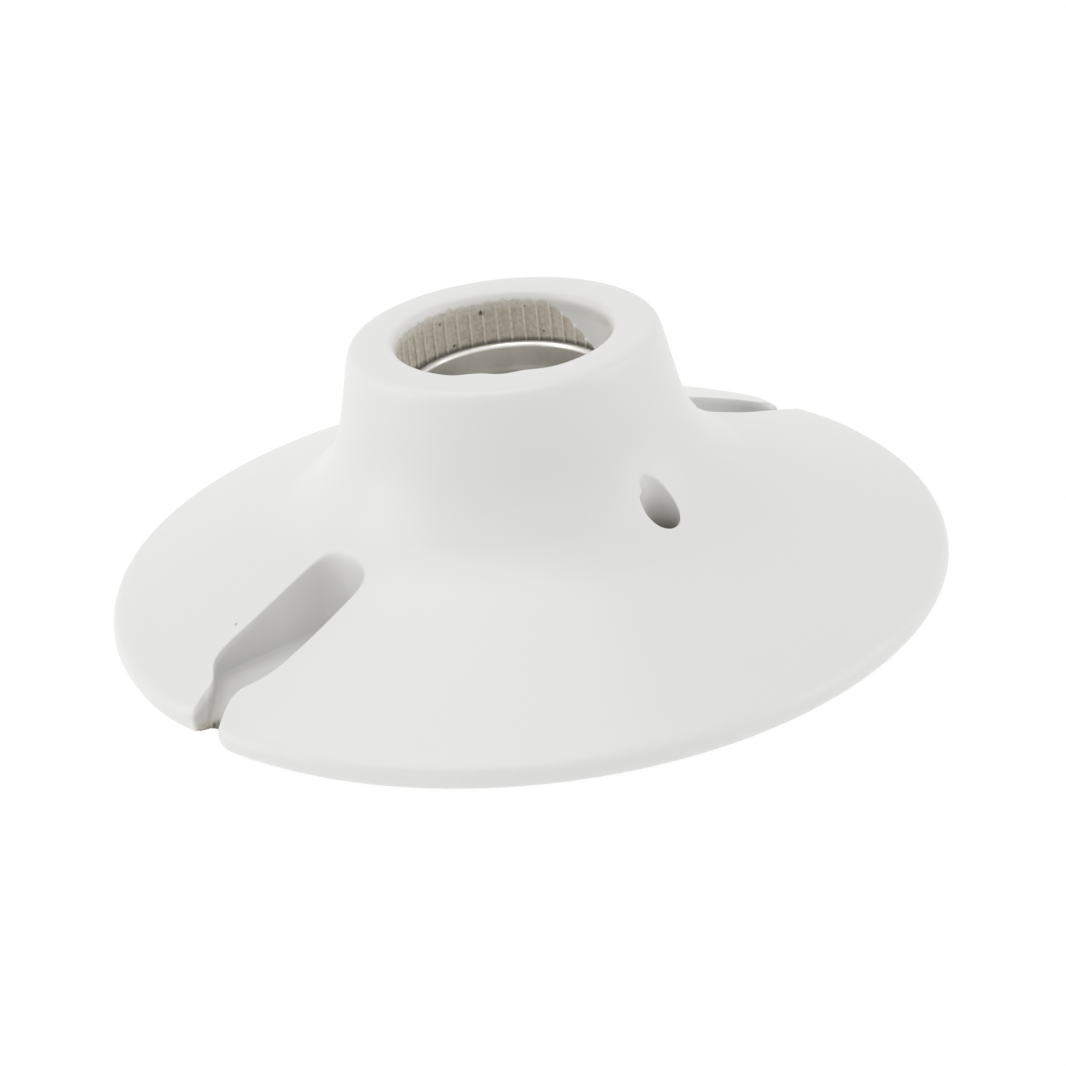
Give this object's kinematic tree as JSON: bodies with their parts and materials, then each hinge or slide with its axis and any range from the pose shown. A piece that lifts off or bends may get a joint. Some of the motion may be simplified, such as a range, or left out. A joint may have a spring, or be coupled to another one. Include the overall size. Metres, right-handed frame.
{
  "type": "porcelain ceiling lamp holder",
  "caption": "Round white glazed porcelain lamp holder with a wide conical flange, tapered neck, ribbed bore, metal screw shell and screw slots for a ceiling box.",
  "frame": {"origin": "centre of the foot plane that lies on the ceiling box", "axes": "+Z along the socket's axis, out of its mouth; +X through the two screw slots; +Y through the live terminal"},
  "size_m": [0.1198, 0.12, 0.0363],
  "materials": {
    "porcelain": "gloss",
    "shell_metal": "drawn, satin",
    "brass": "plain stamped",
    "screw_steel": "nickel plated"
  },
  "bodies": {
    "holder": {"porcelain_body": "porcelain", "screw_shell": "shell_metal", "shell_rivets": "brass", "rivet_washer": "brass", "neutral_strap": "brass", "centre_contact": "brass", "contact_rivet": "brass", "live_strap": "brass"},
    "live_terminal": {"live_screw": "screw_steel"},
    "neutral_terminal": {"neutral_screw": "screw_steel"}
  },
  "joints": [
    {"name": "live_screw_travel", "type": "slide", "parent": "holder", "child": "live_terminal", "axis": [0, 0, 1], "range_m": [0, 0.0015]},
    {"name": "neutral_screw_travel", "type": "slide", "parent": "holder", "child": "neutral_terminal", "axis": [0, 0, 1], "range_m": [0, 0.0015]}
  ]
}
